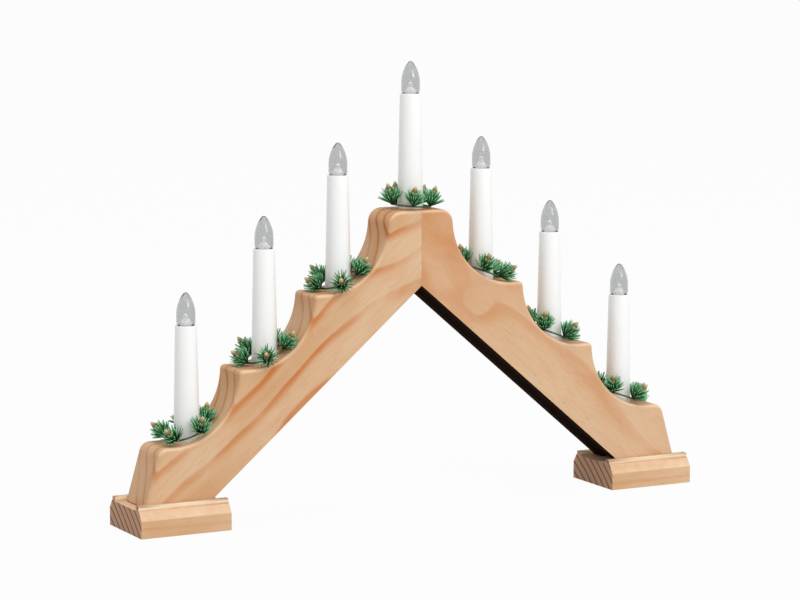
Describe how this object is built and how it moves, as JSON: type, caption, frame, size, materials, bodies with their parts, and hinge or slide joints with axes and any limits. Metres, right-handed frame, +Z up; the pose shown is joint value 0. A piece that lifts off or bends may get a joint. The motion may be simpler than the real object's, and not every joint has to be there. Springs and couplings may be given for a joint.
{
  "type": "candle arch",
  "caption": "Stepped wooden candle arch on two moulded feet, with screw-in electric candles and a loose sprig wreath round each.",
  "frame": {"origin": "on the floor under the middle of the arch, half way through its depth", "axes": "+X along the arch to the viewer's right, +Y from front to back, +Z up"},
  "size_m": [0.4, 0.0506, 0.2876],
  "materials": {
    "pine": "clear matt lacquer",
    "beech": "raw turned dowel",
    "dark_fibre": "dark fibre strip",
    "steel": "zinc plated",
    "wire_green": "insulated lead",
    "black_plastic": "moulded",
    "brass": "drawn shell",
    "white_plastic": "satin moulded",
    "clear_plastic": "clear moulded",
    "lamp_white": "moulded",
    "contact": "glass insulator with solder tip",
    "pine_green": "artificial needles",
    "golden_bud": "lacquered bud"
  },
  "bodies": {
    "arch": {"left_foot": "pine", "right_foot": "pine", "left_leg": "pine", "right_leg": "pine", "left_channel_cover": "dark_fibre", "right_channel_cover": "dark_fibre", "foot_screws": "steel", "mitre_dowels": "beech", "wiring": "wire_green", "cord_inlet_bush": "black_plastic", "lamp_sockets": "brass", "candle_sleeve_1": "white_plastic", "candle_sleeve_2": "white_plastic", "candle_sleeve_3": "white_plastic", "candle_sleeve_4": "white_plastic", "candle_sleeve_5": "white_plastic", "candle_sleeve_6": "white_plastic", "candle_sleeve_7": "white_plastic"},
    "lamp_lift_1": {"bulb_contact_1": "contact"},
    "lamp_1": {"bulb_cap_1": "brass", "bulb_envelope_1": "clear_plastic", "led_carrier_1": "lamp_white"},
    "wreath_body_1": {"wreath_1": "pine_green", "wreath_buds_1": "golden_bud"},
    "lamp_lift_2": {"bulb_contact_2": "contact"},
    "lamp_2": {"bulb_cap_2": "brass", "bulb_envelope_2": "clear_plastic", "led_carrier_2": "lamp_white"},
    "wreath_body_2": {"wreath_2": "pine_green", "wreath_buds_2": "golden_bud"},
    "lamp_lift_3": {"bulb_contact_3": "contact"},
    "lamp_3": {"bulb_cap_3": "brass", "bulb_envelope_3": "clear_plastic", "led_carrier_3": "lamp_white"},
    "wreath_body_3": {"wreath_3": "pine_green", "wreath_buds_3": "golden_bud"},
    "lamp_lift_4": {"bulb_contact_4": "contact"},
    "lamp_4": {"bulb_cap_4": "brass", "bulb_envelope_4": "clear_plastic", "led_carrier_4": "lamp_white"},
    "wreath_body_4": {"wreath_4": "pine_green", "wreath_buds_4": "golden_bud"},
    "lamp_lift_5": {"bulb_contact_5": "contact"},
    "lamp_5": {"bulb_cap_5": "brass", "bulb_envelope_5": "clear_plastic", "led_carrier_5": "lamp_white"},
    "wreath_body_5": {"wreath_5": "pine_green", "wreath_buds_5": "golden_bud"},
    "lamp_lift_6": {"bulb_contact_6": "contact"},
    "lamp_6": {"bulb_cap_6": "brass", "bulb_envelope_6": "clear_plastic", "led_carrier_6": "lamp_white"},
    "wreath_body_6": {"wreath_6": "pine_green", "wreath_buds_6": "golden_bud"},
    "lamp_lift_7": {"bulb_contact_7": "contact"},
    "lamp_7": {"bulb_cap_7": "brass", "bulb_envelope_7": "clear_plastic", "led_carrier_7": "lamp_white"},
    "wreath_body_7": {"wreath_7": "pine_green", "wreath_buds_7": "golden_bud"}
  },
  "joints": [
    {"name": "lamp_rise_1", "type": "slide", "parent": "arch", "child": "lamp_lift_1", "axis": [0, 0, 1], "range_m": [0, 0.00726]},
    {"name": "lamp_turn_1", "type": "hinge", "parent": "lamp_lift_1", "child": "lamp_1", "pos_m": [-0.158, 0, 0.1274], "axis": [0, 0, 1], "range_deg": [0, 1440]},
    {"name": "wreath_lift_1", "type": "slide", "parent": "arch", "child": "wreath_body_1", "axis": [0, 0, 1], "range_m": [0, 0.11]},
    {"name": "lamp_rise_2", "type": "slide", "parent": "arch", "child": "lamp_lift_2", "axis": [0, 0, 1], "range_m": [0, 0.00726]},
    {"name": "lamp_turn_2", "type": "hinge", "parent": "lamp_lift_2", "child": "lamp_2", "pos_m": [-0.104, 0, 0.1726], "axis": [0, 0, 1], "range_deg": [0, 1440]},
    {"name": "wreath_lift_2", "type": "slide", "parent": "arch", "child": "wreath_body_2", "axis": [0, 0, 1], "range_m": [0, 0.11]},
    {"name": "lamp_rise_3", "type": "slide", "parent": "arch", "child": "lamp_lift_3", "axis": [0, 0, 1], "range_m": [0, 0.00726]},
    {"name": "lamp_turn_3", "type": "hinge", "parent": "lamp_lift_3", "child": "lamp_3", "pos_m": [-0.052, 0, 0.2168], "axis": [0, 0, 1], "range_deg": [0, 1440]},
    {"name": "wreath_lift_3", "type": "slide", "parent": "arch", "child": "wreath_body_3", "axis": [0, 0, 1], "range_m": [0, 0.11]},
    {"name": "lamp_rise_4", "type": "slide", "parent": "arch", "child": "lamp_lift_4", "axis": [0, 0, 1], "range_m": [0, 0.00726]},
    {"name": "lamp_turn_4", "type": "hinge", "parent": "lamp_lift_4", "child": "lamp_4", "pos_m": [0, 0, 0.267], "axis": [0, 0, 1], "range_deg": [0, 1440]},
    {"name": "wreath_lift_4", "type": "slide", "parent": "arch", "child": "wreath_body_4", "axis": [0, 0, 1], "range_m": [0, 0.11]},
    {"name": "lamp_rise_5", "type": "slide", "parent": "arch", "child": "lamp_lift_5", "axis": [0, 0, 1], "range_m": [0, 0.00726]},
    {"name": "lamp_turn_5", "type": "hinge", "parent": "lamp_lift_5", "child": "lamp_5", "pos_m": [0.052, 0, 0.2168], "axis": [0, 0, 1], "range_deg": [0, 1440]},
    {"name": "wreath_lift_5", "type": "slide", "parent": "arch", "child": "wreath_body_5", "axis": [0, 0, 1], "range_m": [0, 0.11]},
    {"name": "lamp_rise_6", "type": "slide", "parent": "arch", "child": "lamp_lift_6", "axis": [0, 0, 1], "range_m": [0, 0.00726]},
    {"name": "lamp_turn_6", "type": "hinge", "parent": "lamp_lift_6", "child": "lamp_6", "pos_m": [0.104, 0, 0.1726], "axis": [0, 0, 1], "range_deg": [0, 1440]},
    {"name": "wreath_lift_6", "type": "slide", "parent": "arch", "child": "wreath_body_6", "axis": [0, 0, 1], "range_m": [0, 0.11]},
    {"name": "lamp_rise_7", "type": "slide", "parent": "arch", "child": "lamp_lift_7", "axis": [0, 0, 1], "range_m": [0, 0.00726]},
    {"name": "lamp_turn_7", "type": "hinge", "parent": "lamp_lift_7", "child": "lamp_7", "pos_m": [0.158, 0, 0.1274], "axis": [0, 0, 1], "range_deg": [0, 1440]},
    {"name": "wreath_lift_7", "type": "slide", "parent": "arch", "child": "wreath_body_7", "axis": [0, 0, 1], "range_m": [0, 0.11]}
  ],
  "couplings": [
    {"joint": "lamp_rise_1", "follows": "lamp_turn_1", "m_per_rad": 0.00028871},
    {"joint": "lamp_rise_2", "follows": "lamp_turn_2", "m_per_rad": 0.00028871},
    {"joint": "lamp_rise_3", "follows": "lamp_turn_3", "m_per_rad": 0.00028871},
    {"joint": "lamp_rise_4", "follows": "lamp_turn_4", "m_per_rad": 0.00028871},
    {"joint": "lamp_rise_5", "follows": "lamp_turn_5", "m_per_rad": 0.00028871},
    {"joint": "lamp_rise_6", "follows": "lamp_turn_6", "m_per_rad": 0.00028871},
    {"joint": "lamp_rise_7", "follows": "lamp_turn_7", "m_per_rad": 0.00028871}
  ]
}
